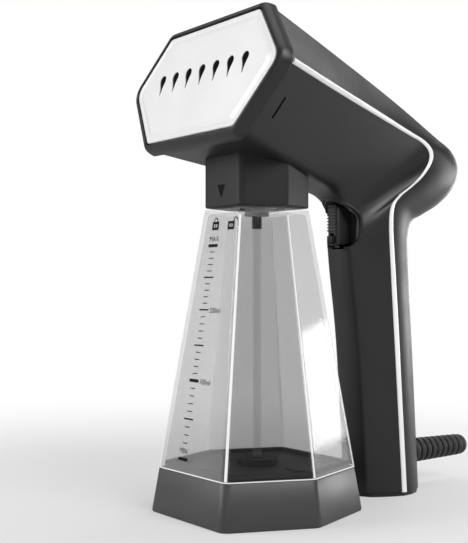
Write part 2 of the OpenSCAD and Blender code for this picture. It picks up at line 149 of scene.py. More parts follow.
LAST = len(STATIONS) - 1
# Where the sloping side of a section turns into the flat, as a share of the way to its middle
KNEE = 0.68
# How far the corners of a section are rounded off, and the part by the ridge that stays sharp
BLUR = 0.05
RIDGE_PART = 0.06
# Length of a quarter turn with a radius of 1
QUARTER_ARC = 1.571
# Rings from one station to the next, and faces across half a shell
STEPS = 12
ARC = 56


# ---------------------------------------------------------------- mesh helpers
def finish_mesh(obj, angle):
    """Smooth faces with the edges sharper than the angle kept sharp."""
    bm = bmesh.new()
    bm.from_mesh(obj.data)
    bmesh.ops.remove_doubles(bm, verts=bm.verts, dist=1e-7)
    bmesh.ops.recalc_face_normals(bm, faces=bm.faces)
    limit = math.radians(angle)
    for edge in bm.edges:
        edge.smooth = len(edge.link_faces) == 2 and edge.calc_face_angle(0) < limit
    for face in bm.faces:
        face.smooth = True
    bm.to_mesh(obj.data)
    bm.free()


def linked(name, data):
    """A new object in the scene."""
    obj = bpy.data.objects.new(name, data)
    bpy.context.scene.collection.objects.link(obj)
    return obj


def mesh_object(name, verts, faces):
    """An object from points in mm, in the row frame."""
    mesh = bpy.data.meshes.new(name)
    mesh.from_pydata([Vector(v) * MM for v in verts], [], faces)
    bm = bmesh.new()
    bm.from_mesh(mesh)
    bmesh.ops.recalc_face_normals(bm, faces=bm.faces)
    bm.to_mesh(mesh)
    bm.free()
    return linked(name, mesh)


def evaluated_mesh(obj):
    """A mesh of the object with its modifiers, or its text, worked out."""
    bpy.context.view_layer.update()
    graph = bpy.context.evaluated_depsgraph_get()
    return bpy.data.meshes.new_from_object(obj.evaluated_get(graph))


def bake(obj):
    """Applies the object's modifiers to its mesh."""
    mesh = evaluated_mesh(obj)
    obj.modifiers.clear()
    obj.data = mesh


def cut(obj, cutters, operation="DIFFERENCE"):
    """Cuts closed solids out of obj, or joins them to it, and removes them."""
    for cutter in cutters:
        mod = obj.modifiers.new("cut", "BOOLEAN")
        mod.operation = operation
        mod.solver = "EXACT"
        mod.object = cutter
        bake(obj)
        bpy.data.objects.remove(cutter)


def bevel(obj, width, segments):
    """Rounds off the sharp edges of obj."""
    mod = obj.modifiers.new("bevel", "BEVEL")
    mod.width = width * MM
    mod.segments = segments
    mod.limit_method = "ANGLE"
    mod.angle_limit = math.radians(30)
    mod.use_clamp_overlap = True
    bake(obj)


def piece(obj, body, material, replaces=(), angle=35):
    """Makes obj a visible piece of a body, in place of the CAD nodes it replaces."""
    finish_mesh(obj, angle)
    obj.data.materials.clear()
    obj.data.materials.append(material)
    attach(obj, body)
    if replaces:
        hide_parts(*replaces)
    return obj


def loft(name, rings, caps=True, closed=False):
    """A skin over rings that have the same number of points."""
    n, m = len(rings[0]), len(rings)
    verts = [p for ring in rings for p in ring]
    faces = []
    for i in range(m if closed else m - 1):
        k = (i + 1) % m
        for j in range(n):
            j2 = (j + 1) % n
            faces.append((i * n + j, k * n + j, k * n + j2, i * n + j2))
    if caps and not closed:
        faces.append(tuple(range(n)))
        faces.append(tuple((m - 1) * n + j for j in reversed(range(n))))
    return mesh_object(name, verts, faces)


def circle(r, sides):
    """Points of a circle round (0, 0)."""
    angles = [2 * math.pi * i / sides for i in range(sides)]
    return [(r * math.cos(a), r * math.sin(a)) for a in angles]


def arc(cx, cy, r, start, end, steps):
    """Points of an arc between two angles in degrees."""
    angles = [math.radians(start + (end - start) * i / steps) for i in range(steps + 1)]
    return [(cx + r * math.cos(a), cy + r * math.sin(a)) for a in angles]


def lathe(name, profile, place, sides=64):
    """Turns (radius, height) points round an axis; place maps (x, y, z) into the row frame."""
    rings = [[place(Vector((x, y, h))) for x, y in circle(r, sides)] for r, h in profile]
    return loft(name, rings, caps=False, closed=True)


def tube(name, path, r, sides=12, closed=False):
    """A round tube along points."""
    pts = [Vector(p) for p in path]
    n = len(pts)
    rings = []
    side = None
    for i, p in enumerate(pts):
        a = pts[(i - 1) % n] if closed or i > 0 else p
        b = pts[(i + 1) % n] if closed or i < n - 1 else p
        along = (b - a).normalized()
        if side is None:
            side = along.cross(Vector((0.3, 0.2, 1))).normalized()
        side = (side - along * side.dot(along)).normalized()
        other = along.cross(side)
        rings.append([p + r * (side * c + other * s) for c, s in circle(1, sides)])
    return loft(name, rings, caps=not closed, closed=closed)


def rounded(corners, radii, steps=8):
    """A closed outline with a rounded corner at each point."""
    out = []
    n = len(corners)
    for i, (x, y) in enumerate(corners):
        p = Vector((x, y))
        a = (Vector(corners[i - 1]) - p).normalized()
        b = (Vector(corners[(i + 1) % n]) - p).normalized()
        half = a.angle(b) / 2
        r = radii[i]
        middle = p + (a + b).normalized() * (r / math.sin(half))
        start = p + a * (r / math.tan(half)) - middle
        end = p + b * (r / math.tan(half)) - middle
        for k in range(steps + 1):
            v = start.lerp(end, k / steps)
            v = v * (r / v.length) if r > 1e-6 else v
            out.append(tuple(middle + v))
    return out


def box(name, low, high, place=Vector):
    """A box between two corners, with place mapping its points into the row frame."""
    xs, ys, zs = zip(low, high)
    verts = [place((x, y, z)) for x in xs for y in ys for z in zs]
    faces = [(0, 1, 3, 2), (4, 6, 7, 5), (0, 4, 5, 1), (2, 3, 7, 6), (0, 2, 6, 4), (1, 5, 7, 3)]
    return mesh_object(name, verts, faces)


def prism_y(name, outline, y0, y1):
    """An (x, z) outline drawn out along Y."""
    return loft(name, [[(x, y, z) for x, z in outline] for y in (y0, y1)])


def rod_y(name, x, z, r, y0, y1, sides=40):
    """A round bar along Y."""
    return prism_y(name, [(x + c, z + s) for c, s in circle(r, sides)], y0, y1)


def rod_z(name, r, z0, z1, sides=96):
    """A round bar round the tank's axis."""
    return loft(name, [[(x, y, z) for x, y in circle(r, sides)] for z in (z0, z1)])


def in_head(x, back, up):
    """A point of the nose, given across, back into the barrel and up along the soleplate."""
    c, s = math.cos(HEAD_TILT), math.sin(HEAD_TILT)
    return HEAD_MIDDLE + Vector((x, back * c + up * s, up * c - back * s))


def head_place(point):
    """The reverse of in_head: across, back and up."""
    c, s = math.cos(HEAD_TILT), math.sin(HEAD_TILT)
    v = point - HEAD_MIDDLE
    return v.x, v.y * c - v.z * s, v.y * s + v.z * c


# ---------------------------------------------------------------- materials
GRAIN_SCALE = 2600.0
GRAIN_DEPTH = 0.0002
DRIFT_LOW = 0.3
DRIFT_HIGH = 0.7
ROUGH_DRIFT = 0.06


def principled(m):
    """The material's main shader."""
    return m.node_tree.nodes["Principled BSDF"]


def material(name, color, rough, metallic=0.0, **extra):
    """A plain material; extra names further sockets of its shader."""
    m = bpy.data.materials.new(name)
    m.use_nodes = True
    inputs = principled(m).inputs
    inputs["Base Color"].default_value = (*color, 1)
    inputs["Roughness"].default_value = rough
    inputs["Metallic"].default_value = metallic
    for key, value in extra.items():
        inputs[key.replace("_", " ")].default_value = value
    return m


def add(m, kind, **values):
    """A node with its sockets or settings given by name."""
    node = m.node_tree.nodes.new(kind)
    for key, value in values.items():
        socket = key.replace("_", " ")
        if socket in node.inputs:
            node.inputs[socket].default_value = value
        else:
            setattr(node, key, value)
    return node


def wire(m, a, out, b, into):
    """Links an output of node a to an input of node b."""
    m.node_tree.links.new(a.outputs[out], b.inputs[into])


def ramp_between(m, low, high):
    """A colour ramp between two (position, colour) stops."""
    ramp = add(m, "ShaderNodeValToRGB")
    for stop, (position, color) in zip(ramp.color_ramp.elements, (low, high)):
        stop.position = position
        stop.color = (*color, 1)
    return ramp


def add_bump(m, place, scale, detail, strength, distance):
    """Noise in the height of the surface."""
    noise = add(m, "ShaderNodeTexNoise", Scale=scale, Detail=detail)
    wire(m, place, "Object", noise, "Vector")
    relief = add(m, "ShaderNodeBump", Strength=strength, Distance=distance)
    wire(m, noise, "Fac", relief, "Height")
    wire(m, relief, "Normal", principled(m), "Normal")


def textured(m, color, rough, spread, size, bump):
    """Adds a little drift of tone and gloss, and a fine grain in the bump."""
    bsdf = principled(m)
    place = add(m, "ShaderNodeTexCoord")
    drift = add(m, "ShaderNodeTexNoise", Scale=size, Detail=3.0)
    wire(m, place, "Object", drift, "Vector")
    dark = [max(c * (1 - spread), 0) for c in color]
    light = [min(c * (1 + spread), 1) for c in color]
    ramp = ramp_between(m, (DRIFT_LOW, dark), (DRIFT_HIGH, light))
    wire(m, drift, "Fac", ramp, "Fac")
    wire(m, ramp, "Color", bsdf, "Base Color")
    span = add(m, "ShaderNodeMapRange", From_Min=DRIFT_LOW, From_Max=DRIFT_HIGH,
               To_Min=rough - ROUGH_DRIFT, To_Max=rough + ROUGH_DRIFT)
    wire(m, drift, "Fac", span, "Value")
    wire(m, span, "Result", bsdf, "Roughness")
    if bump:
        add_bump(m, place, GRAIN_SCALE, 2.0, bump, GRAIN_DEPTH)
    return m


def plastic(name, color, rough, spread=0.06, bump=0.08, **extra):
    """Moulded plastic or rubber."""
    return textured(material(name, color, rough, **extra), color, rough, spread, 35.0, bump)


def metal(name, color, rough, spread, size, bump):
    """Bare metal."""
    return textured(material(name, color, rough, metallic=1.0), color, rough, spread, size, bump)


def clear_plastic(name, straight, slanted, alpha):
    """Clear moulded plastic, seen as two thin skins: darker faced straight on, paler at a slant."""
    m = material(name, (slanted,) * 3, 0.08, Alpha=alpha, IOR=1.6)
    view = add(m, "ShaderNodeLayerWeight", Blend=0.5)
    ramp = ramp_between(m, (0.12, (straight,) * 3), (0.42, (slanted,) * 3))
    wire(m, view, "Facing", ramp, "Fac")
    wire(m, ramp, "Color", principled(m), "Base Color")
    add_bump(m, add(m, "ShaderNodeTexCoord"), 22.0, 1.0, 0.05, 0.0004)
    return m


shell_black = plastic("satin_black_plastic", (0.01, 0.01, 0.0105), 0.42, bump=0.1)
collar_black = plastic("dull_black_plastic", (0.018, 0.018, 0.019), 0.5, bump=0.1, Specular_IOR_Level=0.25)
base_grey = plastic("satin_grey_plastic", (0.042, 0.042, 0.044), 0.4, bump=0.1)
inner_dark = plastic("inner_plastic", (0.022, 0.022, 0.024), 0.5)
floor_dark = plastic("tank_floor_plastic", (0.03, 0.03, 0.032), 0.45)
spigot_black = plastic("spigot_plastic", (0.006, 0.006, 0.006), 0.4)
inner_white = plastic("white_inner_plastic", (0.75, 0.75, 0.73), 0.45)
lock_black = plastic("gloss_black_plastic", (0.004, 0.004, 0.004), 0.4, bump=0.02, Specular_IOR_Level=0.25)
# Near-black painted shade for the walls of the steam holes and their grooves in the plate
painted_groove_shade = plastic("painted_hole_shade", (0.01, 0.01, 0.01), 0.35)
print_ink = plastic("printed_ink", (0.003, 0.003, 0.003), 0.6, bump=0.02, Specular_IOR_Level=0.1)
relief_rubber = plastic("sleeve_rubber", (0.02, 0.02, 0.021), 0.55, bump=0.2)
seal_rubber = plastic("seal_rubber", (0.012, 0.012, 0.013), 0.6)
silicone = plastic("heatproof_silicone", (0.3, 0.09, 0.05), 0.6)
trim_white = plastic(
    "gloss_white_plastic", (0.98, 0.98, 0.975), 0.2, spread=0.015, bump=0.02, Coat_Weight=0.6
)
plate_enamel = plastic(
    "pale_ceramic_coat", (0.84, 0.84, 0.84), 0.32, spread=0.02, bump=0.05, Coat_Weight=0.3
)
red_plastic = plastic("red_plastic", (0.5, 0.04, 0.03), 0.3)
green_board = plastic("green_lacquer", (0.02, 0.14, 0.05), 0.35)
brown_wire = plastic("brown_insulation", (0.2, 0.08, 0.03), 0.5)
hose_clear = plastic("milky_silicone", (0.75, 0.77, 0.78), 0.35, Transmission_Weight=0.5)
steel = metal("brushed_steel", (0.6, 0.6, 0.62), 0.3, 0.08, 60.0, 0.1)
cast_metal = metal("cast_aluminium", (0.62, 0.63, 0.64), 0.5, 0.1, 80.0, 0.4)
brass = metal("brass", (0.7, 0.5, 0.2), 0.35, 0.08, 60.0, 0.1)
tank_clear = clear_plastic("clear_plastic", 0.03, 0.53, 0.24)
clear_hose = clear_plastic("clear_silicone", 0.3, 0.6, 0.08)
# Painted highlight for the tank's corners and foot: a pale, half-clear skin that also glows a little of
# itself, though it is no lamp.
painted_edge_glint = plastic(
    "painted_edge_highlight", (0.9, 0.9, 0.9), 0.15, spread=0.02, bump=0.0, Alpha=0.6, Emission_Strength=0.28
)


# ---------------------------------------------------------------- the housing's skin
def catmull_rom(a, b, c, d, t):
    """A smooth value between b and c."""
    return 0.5 * (2 * b + (c - a) * t + (2 * a - 5 * b + 4 * c - d) * t * t + (3 * b - a - 3 * c + d) * t**3)


def at(s):
    """The section at s along the housing, counted in stations."""
    i = min(int(s), LAST - 1)
    rows = [STATIONS[min(max(k, 0), LAST)] for k in range(i - 1, i + 3)]
    return Section(*[catmull_rom(*values, s - i) for values in zip(*rows)])


def quarter(t, flat, k):
    """From the ridge (t = 0) over the flat's middle (t = 1) and on to the other ridge (t = 2)."""
    if t > 1:
        x, y = quarter(2 - t, flat, k)
        return -x, y
    t = max(t, 0)
    if t < KNEE:
        hx, hy = 1 - (1 - flat) * t / KNEE, t / KNEE
    else:
        hx, hy = flat * (1 - t) / (1 - KNEE), 1.0
    a = math.pi / 2 * t
    return (1 - k) * hx + k * math.cos(a), (1 - k) * hy + k * math.sin(a)


def soft_quarter(t, flat, k):
    """The quarter with its corners rounded off."""
    if t < RIDGE_PART or t > 2 - RIDGE_PART:
        return quarter(t, flat, k)
    room = min(BLUR, t, 2 - t)
    samples = [quarter(t + room * q / 4, flat, k) for q in range(-4, 5)]
    return sum(p[0] for p in samples) / 9, sum(p[1] for p in samples) / 9


def half_section(section, outer):
    """Ridge, apex, flat and roundness of the inner or the outer half of a section."""
    ridge = Vector((section.ridge_y, section.ridge_z))
    if outer:
        return ridge, Vector((section.outer_y, section.outer_z)), section.outer_flat, section.outer_round
    return ridge, Vector((section.inner_y, section.inner_z)), section.inner_flat, section.inner_round


def skin_point(section, outer, t, inset=0.0):
    """A point of the housing's skin, or of the inside of its wall."""
    ridge, apex, flat, roundness = half_section(section, outer)
    apex = apex + (ridge - apex).normalized() * inset
    qx, qy = soft_quarter(t, flat / section.half, roundness)
    mid = ridge + (apex - ridge) * qy
    return Vector(((section.half - inset) * qx, mid.x, mid.y))


def share(distance, section, outer):
    """The t that lies at a distance from the ridge."""
    ridge, apex, _, roundness = half_section(section, outer)
    return distance / (ridge - apex).length / ((1 - roundness) / KNEE + roundness * QUARTER_ARC)


def half_shell(name, outer):
    """The inner or the outer shell of the housing, open along both ridges for the trim."""
    rings = []
    for i in range(LAST * STEPS + 1):
        section = at(i / STEPS)
        t0 = share(TRIM_W / 2 + TRIM_GAP, section, outer)
        ts = [t0 + (2 - 2 * t0) * j / ARC for j in range(ARC + 1)]
        outside = [skin_point(section, outer, t) for t in ts]
        inside = [skin_point(section, outer, t, WALL) for t in reversed(ts)]
        rings.append(outside + inside)
    return loft(name, rings)


def trim_strip(name, side):
    """A strip along one ridge, raised a little over the seam."""
    rings = []
    for i in range(LAST * STEPS + 1):
        section = at(i / STEPS)
        low = skin_point(section, False, share(TRIM_W / 2, section, False))
        top = skin_point(section, True, share(TRIM_W / 2, section, True))
        ridge = skin_point(section, False, 0)
        ring = []
        for edge, f in [(low, f) for f in (0, 0.12, 0.5, 1)] + [(top, f) for f in (0.5, 0.12, 0)]:
            lift = TRIM_LIFT * (min(f, 0.25) / 0.25) ** 0.5
            ring.append(edge.lerp(ridge, f) + Vector((lift, 0, 0)))
        ring += [top - Vector((WALL, 0, 0)), low - Vector((WALL, 0, 0))]
        rings.append([Vector((side * p.x, p.y, p.z)) for p in ring])
    return loft(name, rings)


def recess_outline(grow=0.0):
    """Outline of the trigger's recess: round at the top, with soft corners at its foot."""
    r = RECESS_R + grow
    across = r - RECESS_CORNER
    up = RECESS_LOW - grow + RECESS_CORNER
    top = arc(0, RECESS_Z, r, 0, 180, 24)
    left = arc(-across, up, RECESS_CORNER, 180, 270, 8)
    right = arc(across, up, RECESS_CORNER, 270, 360, 8)
    return top + left + right


def slit_cutter(side):
    """A narrow vent low on the barrel, behind the nose."""
    c, s = math.cos(SLIT_LEAN), math.sin(SLIT_LEAN)
    across, back_by, up = SLIT_MIDDLE

    def place(point):
        x, y, z = point
        return in_head(side * (across + (x * c + z * s)), back_by + y, z * c - x * s + up)

    return box("slit_cut", [-h for h in SLIT_HALF], SLIT_HALF, place)


front = half_shell("front_housing", False)
cut(front, [prism_y("recess_cut", recess_outline(), *RECESS_CUT), slit_cutter(-1), slit_cutter(1)])
piece(front, "housing", shell_black, ["front_shell"], 40)

back = half_shell("back_housing", True)
cut(back, [rod_y("relief_cut", 0, RELIEF_Z, RELIEF_HOLE_R, RELIEF_HOLE_START, PAST_BACK)])
for z in SCREW_HEIGHTS:
    back_y = BACK_Y - BACK_LEAN * z
    cut(back, [rod_y("screw_cut", 0, z, SCREW_R, back_y - SCREW_DEPTH, PAST_BACK)])
piece(back, "housing", shell_black, ["back_shell"], 40)

for label, sign in (("left", -1), ("right", 1)):
    strip = trim_strip("trim_strip_" + label, sign)
    piece(strip, "housing", trim_white, ["trim_" + label], 60)


# ---------------------------------------------------------------- nose
def hex_outline(corners, grow, radii):
    """The six-sided outline of the nose, grown outwards."""
    (tx, tz), (sx, sz), (bx, bz) = corners
    side = sx + 1.15 * grow
    pts = [(-tx - grow / 2, tz + grow), (tx + grow / 2, tz + grow), (side, sz),
           (bx + grow / 2, bz - grow), (-bx - grow / 2, bz - grow), (-side, sz)]
    order = [radii[0], radii[0], radii[1], radii[2], radii[2], radii[1]]
    return rounded(pts, order)


def nose_rings(spec):
    """Rings given as (back, grow, extra corner radius)."""
    rings = []
    for back_by, grow, extra in spec:
        outline = hex_outline(PLATE, grow, [r + extra for r in PLATE_CORNERS])
        rings.append([in_head(x, back_by, up) for x, up in outline])
    return rings


bezel_rings = nose_rings([
    (7.8, 0.95, 0), (1.6, 0.9, 0), (0.5, 0.95, 0.2), (0.1, 1.15, 0.4), (0.0, 1.45, 0.6), (0.15, 1.9, 1.0),
    (0.6, 2.6, 1.6), (1.4, 3.35, 2.4), (2.4, 3.95, 3.0), (3.6, 4.35, 3.4), (5.0, 4.6, 3.4), (6.4, 4.7, 3.0),
])
for across_scale, up_scale in ((1, 1), (0.965, 0.95)):
    outline = hex_outline(BARREL, 0, BARREL_CORNERS)
    bezel_rings.append([in_head(x * across_scale, BARREL_START, up * up_scale) for x, up in outline])
bezel = loft("nose_bezel_ring", bezel_rings, caps=False, closed=True)
piece(bezel, "housing", shell_black, ["nose_bezel"], 30)

plate = loft("steam_plate", nose_rings([
    (3.2, 0.1, 0), (1.2, 0.1, 0), (0.8, 0.0, 0), (0.55, -0.3, 0), (0.5, -0.8, 0), (0.5, -2.2, -0.6),
    (0.62, -2.5, -0.7), (0.62, -2.9, -0.9), (0.15, -4.2, -1.4), (0.02, -4.6, -1.4), (0.0, -5.2, -1.5),
]))


def teardrop(r, tip, steps=28):
    """A circle drawn out to a rounded tip below it."""
    start = math.radians(-25)
    sweep = math.pi - 2 * start
    angles = [start + sweep * i / steps for i in range(steps + 1)]
    pts = [(r * math.cos(a), r * math.sin(a)) for a in angles]
    low = r * math.sin(start)
    flank = []
    for i in range(1, 7):
        f = i / 7
        flank.append((r * math.cos(start) * (1 - f) ** 1.6 + 0.42 * f, low + (tip - low) * f))
    flank.append((0.3, tip))
    return pts + [(-x, y) for x, y in flank] + flank[::-1]


def hole_cutters():
    """A bore through the plate and a groove round it, for each steam hole."""
    wide = teardrop(GROOVE_R, GROOVE_TIP)
    deep = teardrop(GROOVE_FLOOR_R, GROOVE_FLOOR_TIP)
    ring = circle(HOLE_R, 36)
    cutters = []
    for x0 in HOLE_XS:
        cutters.append(loft("groove_cut", [
            [in_head(x0 + x, -0.4, HOLE_UP + z) for x, z in wide],
            [in_head(x0 + x * 0.96, 0.3, HOLE_UP + z * 0.97) for x, z in wide],
            [in_head(x0 + x, 2.2, HOLE_UP + z) for x, z in deep],
        ]))
        bore = [[in_head(x0 + x, y, HOLE_UP + z) for x, z in ring] for y in (-1, 5)]
        cutters.append(loft("hole_cut", bore))
    return cutters


cut(plate, hole_cutters())
piece(plate, "housing", plate_enamel, ["soleplate"], 25)
# Faces below the plate's front, near a hole, are the walls of the holes and grooves; they get a near-black
# painted shade.
plate.data.materials.append(painted_groove_shade)
for face in plate.data.polygons:
    across, back_by, up = head_place(face.center / MM)
    near = min(abs(across - x0) for x0 in HOLE_XS)
    if back_by > 0.35 and near < 3.1 and -6.2 < up < 7.2:
        face.material_index = 1


# ---------------------------------------------------------------- tank
def hexagon(r, corner, z):
    """A level ring of the outline that the tank and the collar share."""
    x, y = HEX_X * r, HEX_Y * r
    pts = [(r, 0), (x, y), (-x, y), (-r, 0), (-x, -y), (x, -y)]
    return [(px, py, z) for px, py in rounded(pts, [corner] * 6, CORNER_POINTS - 1)]


def tank_r(z):
    """The tank's radius at a height."""
    return TANK_R - TANK_TAPER * z


def tank_ring(z, inset=0.0, shrink=0.0):
    """The tank's outline at a height; its corners are softer at the foot than at the shoulder."""
    corner = max(FOOT_CORNER - CORNER_LOSS * z / TANK_TOP - inset, SHARPEST)
    return hexagon(tank_r(z) - CORNER_SHIFT * inset - shrink, corner, z)


def moved_to(z, ring):
    """The same ring at another height."""
    return [(x, y, z) for x, y, _ in ring]


def shoulder(z, radius, inset=0.0):
    """Rings that turn the tank's wall over into its top."""
    rings = []
    for k in range(1, 6):
        a = math.pi / 2 * k / 5
        ring = tank_ring(z, inset, shrink=radius * (1 - math.cos(a)))
        rings.append(moved_to(z + radius * math.sin(a), ring))
    return rings


def sector(name, r0, r1, z0, z1, middle, width, steps=10):
    """A piece of a ring round the tank's axis, over a width in degrees."""
    rings = []
    for i in range(steps + 1):
        a = math.radians(middle - width / 2 + width * i / steps)
        corners = ((r0, z0), (r1, z0), (r1, z1), (r0, z1))
        rings.append([(r * math.cos(a), r * math.sin(a), z) for r, z in corners])
    return loft(name, rings)


TANK_LOW = BASE_H + 0.15
outside = [tank_ring(z) for z in (TANK_LOW, 60, 100, 143.5)] + shoulder(TANK_TOP - 1.2, 1.2)
inside = [moved_to(TANK_LOW - 1, tank_ring(TANK_LOW, TANK_WALL))]
inside += [tank_ring(z, TANK_WALL) for z in (60, 100, 142)]
inside += shoulder(143, 2, TANK_WALL)
tank = loft("clear_tank", outside)
cut(tank, [rod_z("neck", NECK_R, TANK_TOP - 0.5, 157)], "UNION")
for angle in (60, 180, 300):
    lug = sector("lug", NECK_R - 0.5, BORE_R - 0.4, LEDGE_TOP + 0.25, 153.6, angle, 22)
    cut(tank, [lug], "UNION")
cut(tank, [loft("tank_hollow", inside), rod_z("neck_bore", NECK_R - 2, 130, 170)])
piece(tank, "tank", tank_clear, ["tank_shell"], 40)
# The neck and the flat top are clearer than the sides, so that the intake tube shows through them.
tank.data.materials.append(clear_hose)
for face in tank.data.polygons:
    spot = face.center / MM
    if spot.z > TANK_TOP - 2.2 and math.hypot(spot.x, spot.y) < BORE_R:
        face.material_index = 1

# Painted highlights: a strip on the middle three points of each corner, and a line along the foot
for corner in range(6):
    rings = []
    for z in (BASE_H + 0.8, 60, 100, 143.4):
        ring = tank_ring(z)
        strip = [Vector(ring[corner * CORNER_POINTS + k]) for k in (4, 5, 6)]
        away = Vector((strip[1].x, strip[1].y, 0)).normalized()
        raised = [p + away * EDGE_OUT for p in strip]
        rings.append(raised + [p - away * EDGE_IN for p in reversed(strip)])
    piece(loft("tank_edge_highlight_%d" % corner, rings), "tank", painted_edge_glint)
foot_rings = [
    tank_ring(BASE_H + 0.1, shrink=-EDGE_OUT), tank_ring(BASE_H + 0.55, shrink=-EDGE_OUT),
    tank_ring(BASE_H + 0.55, shrink=EDGE_IN), tank_ring(BASE_H + 0.1, shrink=EDGE_IN),
]
piece(loft("tank_foot_edge_highlight", foot_rings, caps=False, closed=True), "tank", painted_edge_glint)

# The base is a cup: up inside its wall, over the rim and down the outside to a rounded foot.
base_rings = [
    tank_ring(3, BASE_WALL), tank_ring(BASE_H - 0.3, BASE_WALL), tank_ring(BASE_H, BASE_WALL - 0.3),
    tank_ring(BASE_H, 0.5), moved_to(BASE_H - 0.12, tank_ring(BASE_H, 0.15)), tank_ring(BASE_H - 0.45),
    tank_ring(10), tank_ring(1.2), tank_ring(0.35, shrink=0.3), tank_ring(0, shrink=1.1),
]
piece(loft("tank_foot_cup", base_rings), "tank", base_grey, ["tank_base"], 40)


# ---------------------------------------------------------------- collar above the tank
def collar_ring(z, shrink=0.0):
    """The collar's outline, which is the tank's top carried straight up."""
    return hexagon(tank_r(TANK_TOP) - shrink, max(COLLAR_CORNER - shrink, SHARPEST), z)


collar = loft("tank_mouth_collar", [
    collar_ring(COLLAR_LOW, 0.7), collar_ring(COLLAR_LOW + 0.15, 0.3), collar_ring(COLLAR_LOW + 0.6),
    collar_ring(160), collar_ring(COLLAR_TOP),
])
cut(collar, [
    rod_z("mouth", NECK_R + 0.4, COLLAR_LOW - 1, LEDGE_TOP + 1), rod_z("room", BORE_R, LEDGE_TOP, 158.6),
    rod_z("spigot_hole", 3, 155, 167), rod_z("top_room", 16.5, 161.5, 180),
])
for angle in (30, 150, 270):
    way = sector("lug_way", NECK_R - 1, BORE_R - 0.15, COLLAR_LOW - 1, LEDGE_TOP + 0.5, angle, 28)
    cut(collar, [way])
# A shallow printed arrow on the front points down at the lock marks.
COLLAR_FRONT = -HEX_Y * tank_r(TANK_TOP)
POINTER = [(-3.2, 158.4), (3.2, 158.4), (0.5, 152.6), (-0.5, 152.6)]
cut(collar, [prism_y("pointer_cut", POINTER, COLLAR_FRONT - 2, COLLAR_FRONT + 0.5)])
piece(collar, "housing", collar_black, ["tank_collar"], 30)
pointer = prism_y("collar_pointer", POINTER, COLLAR_FRONT + 0.3, COLLAR_FRONT + 0.5)
piece(pointer, "housing", print_ink)

# ---------------------------------------------------------------- print on the tank's front face
FACE_LEAN = math.atan2(HEX_Y * TANK_TAPER, 1)
FACE_UP = Vector((0, math.sin(FACE_LEAN), math.cos(FACE_LEAN)))
FACE_OUT = Vector((0, -math.cos(FACE_LEAN), math.sin(FACE_LEAN)))
# The long marks, from MIN to MAX; MIN, 100 ml and MAX are bold.
MARK_HEIGHTS = [27.9, 46.7, 64.8, 81.5, 98.4, 113.9, 129.1]
BOLD_MARKS = (0, 2, 6)
LONG_MARK = 7.6
SHORT_MARK = 3.8
BOLD = 1.5
PLAIN = 0.7
FINE = 0.42
MARKS_X = -6.9
MARKS_LEAN = 0.036
# How far a word starts to the left of the marks' middle, and a number to the right of it
WORD_LEFT = 3.6
NUMBER_RIGHT = 4.6
WORD_SIZE = 3.6
INK_DEPTH = 0.03


def on_face(x, z, lift):
    """A point over the front face, at a distance out from it."""
    return Vector((x, -HEX_Y * tank_r(z), z)) + FACE_OUT * lift


def mark_line(z):
    """Middle of the scale's marks at a height."""
    return MARKS_X + (z - MARK_HEIGHTS[0]) * MARKS_LEAN


def printed(name, shapes):
    """Thin printed shapes, each a list of (x, z) corners on the front face."""
    verts, faces = [], []
    for shape in shapes:
        n = len(shape)
        k = len(verts)
        verts += [on_face(x, z, 0.04) for x, z in shape] + [on_face(x, z, -0.02) for x, z in shape]
        faces.append(tuple(range(k, k + n)))
        faces.append(tuple(reversed(range(k + n, k + 2 * n))))
        for j in range(n):
            j2 = (j + 1) % n
            faces.append((k + j, k + n + j, k + n + j2, k + j2))
    piece(mesh_object(name, verts, faces), "tank", print_ink)


def bar(x, z, width, height):
    """Corners of a rectangle round (x, z)."""
    return [(x - width / 2, z - height / 2), (x + width / 2, z - height / 2),
            (x + width / 2, z + height / 2), (x - width / 2, z + height / 2)]


def scale_marks():
    """Long marks with four short ones between them, but for the place of the word MIN."""
    shapes = []
    for i, z in enumerate(MARK_HEIGHTS):
        shapes.append(bar(mark_line(z), z, LONG_MARK, BOLD if i in BOLD_MARKS else PLAIN))
        if i < len(MARK_HEIGHTS) - 1:
            first = 2 if i == 0 else 1
            for k in range(first, 5):
                short_z = z + (MARK_HEIGHTS[i + 1] - z) * k / 5
                shapes.append(bar(mark_line(short_z), short_z, SHORT_MARK, FINE))
    return shapes


def word(name, text, x, z):
    """Letters that start at x on the front face."""
    curve = bpy.data.curves.new(name, "FONT")
    curve.body = text
    curve.size = WORD_SIZE * MM
    curve.align_x = "LEFT"
    curve.align_y = "CENTER"
    curve.extrude = INK_DEPTH * MM
    letters = linked(name, curve)
    place = Matrix.Identity(4)
    for i, v in enumerate((Vector((1, 0, 0)), FACE_UP, FACE_OUT)):
        for j in range(3):
            place[j][i] = v[j]
    place.translation = on_face(x, z, INK_DEPTH) * MM
    mesh = evaluated_mesh(letters)
    bpy.data.objects.remove(letters)
    mesh.transform(place)
    piece(linked(name, mesh), "tank", print_ink)


def arc_band(cx, cz, r0, r1, start, end):
    """Corners of a band between two radii, from one angle in degrees to another."""
    return arc(cx, cz, r1, start, end, 10) + arc(cx, cz, r0, end, start, 10)


def padlock(cx, cz, opened):
    """A padlock drawn as a frame with a keyhole and a shackle, which is shifted when it is open."""
    w, h, t = 2.6, 2.0, 1.25
    parts = [bar(cx, cz - h + t / 2, 2 * w, t), bar(cx, cz + h - t / 2, 2 * w, t),
             bar(cx - w + t / 2, cz, t, 2 * h - 2 * t), bar(cx + w - t / 2, cz, t, 2 * h - 2 * t),
             bar(cx, cz, 0.8, 1.2)]
    shift = 3.2 if opened else 0
    parts.append(arc_band(cx + shift, cz + h + 0.5, 0.95, 1.5, -10, 190))
    if opened:
        parts.append(bar(cx + shift - 1.2, cz + h + 0.2, 0.55, 0.9))
    else:
        parts += [bar(cx - 1.2, cz + h + 0.25, 0.55, 0.6), bar(cx + 1.2, cz + h + 0.25, 0.55, 0.6)]
    return parts


